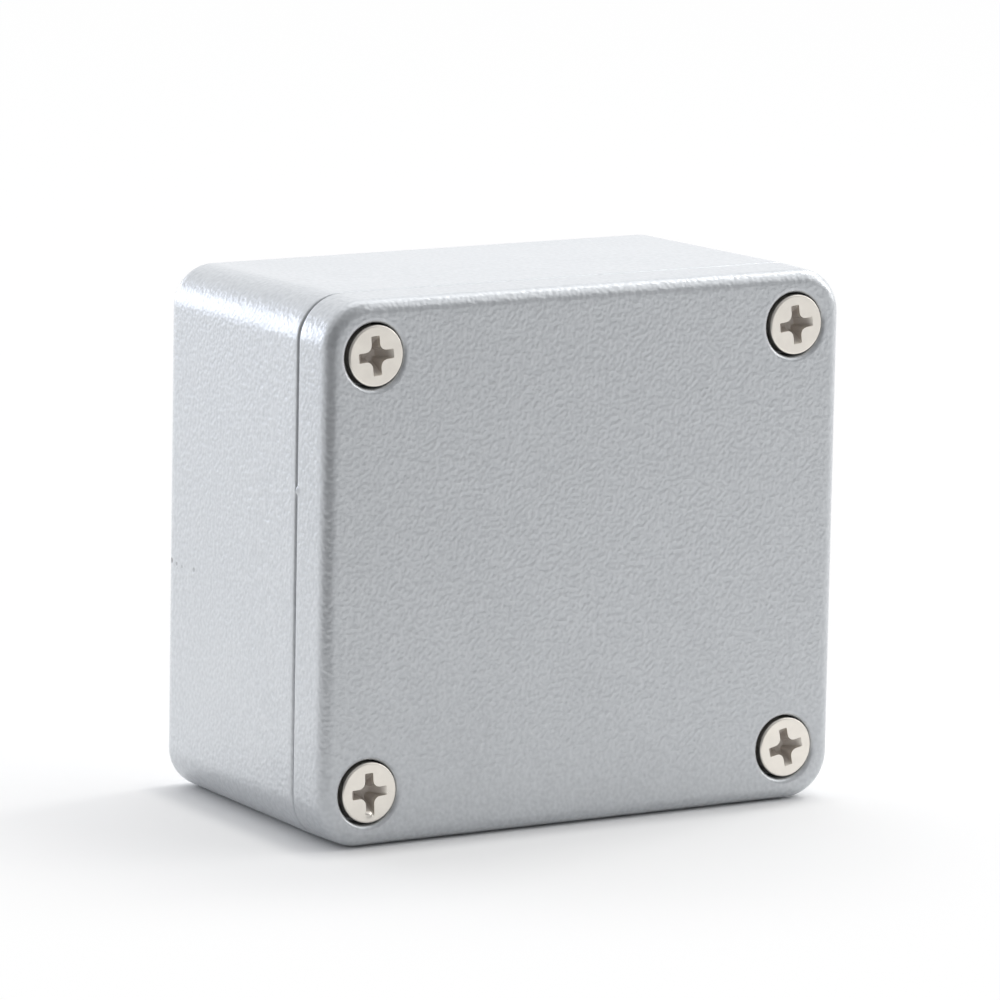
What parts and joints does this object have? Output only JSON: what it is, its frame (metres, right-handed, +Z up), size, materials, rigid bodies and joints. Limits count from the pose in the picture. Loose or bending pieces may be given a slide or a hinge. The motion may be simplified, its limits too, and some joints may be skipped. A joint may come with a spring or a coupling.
{
  "type": "junction box",
  "caption": "Small die-cast aluminium junction box with a sealed lid held by recessed cross-head screws, made to be fixed to a wall and to hold cable joints.",
  "frame": {"origin": "on the surface the box stands on, under the middle of its width and depth", "axes": "+Z up as the box stands on a long side, -Y out of the face of the lid, +Y out of the back, +X along the width"},
  "size_m": [0.064, 0.035, 0.058],
  "materials": {
    "hammer_paint": "silver-grey paint with a fine hammered grain over die-cast aluminium",
    "seal_rubber": "matt black rubber",
    "nickel_screw": "satin nickel-plated steel",
    "zinc_plate": "zinc-plated steel"
  },
  "bodies": {
    "housing": {"base": "hammer_paint", "earth_screw": "zinc_plate", "earth_spring_washer": "zinc_plate", "earth_washer": "zinc_plate"},
    "cover": {"lid": "hammer_paint", "gasket": "seal_rubber", "lid_screws": "nickel_screw"}
  },
  "joints": [
    {"name": "lid_lift", "type": "slide", "parent": "housing", "child": "cover", "axis": [0, -1, 0], "range_m": [0, 0.06]}
  ]
}
